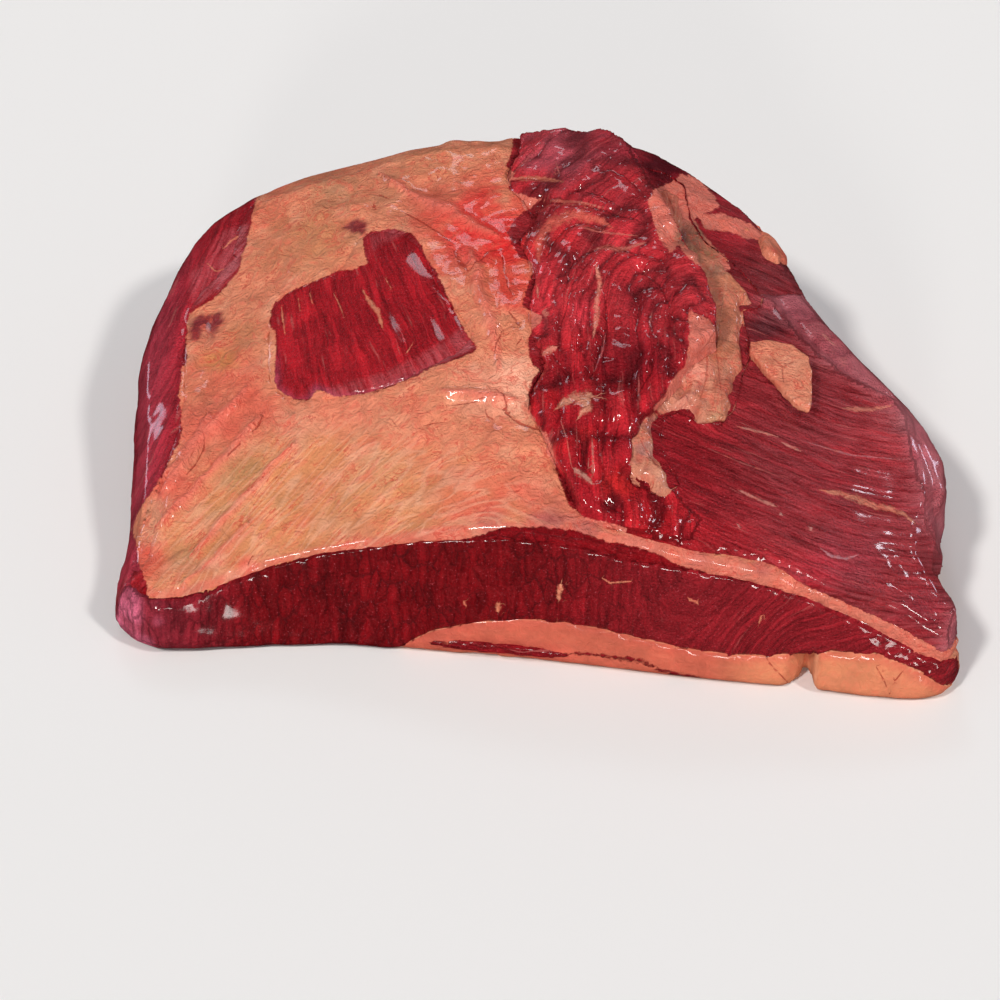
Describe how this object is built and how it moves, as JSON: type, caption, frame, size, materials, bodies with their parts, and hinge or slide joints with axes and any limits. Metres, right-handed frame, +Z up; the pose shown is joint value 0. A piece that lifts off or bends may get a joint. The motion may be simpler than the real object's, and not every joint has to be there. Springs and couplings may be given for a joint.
{
  "type": "raw boneless beef brisket",
  "caption": "Domed slab of raw boneless beef with a straight cut face that shows lean and fat in layers, a fat-covered top with a window of lean, and a trimmed ridge.",
  "frame": {"origin": "under the middle of the plan, on the surface that the meat lies on", "axes": "+X along the straight cut face, +Y from the cut face to the rounded back, +Z up"},
  "size_m": [0.2894, 0.2424, 0.0917],
  "materials": {
    "lean": "moist raw lean beef, deep red with fine grain",
    "fat": "soft raw beef fat, pale peach with a slight wet sheen"
  },
  "bodies": {
    "root": {"fat_cap": "fat", "lean_streak": "lean", "flat_muscle": "lean", "seam_fat": "fat", "point_muscle": "lean", "groove_fat": "fat", "fat_flap": "fat", "edge_fat": "fat"}
  },
  "joints": []
}
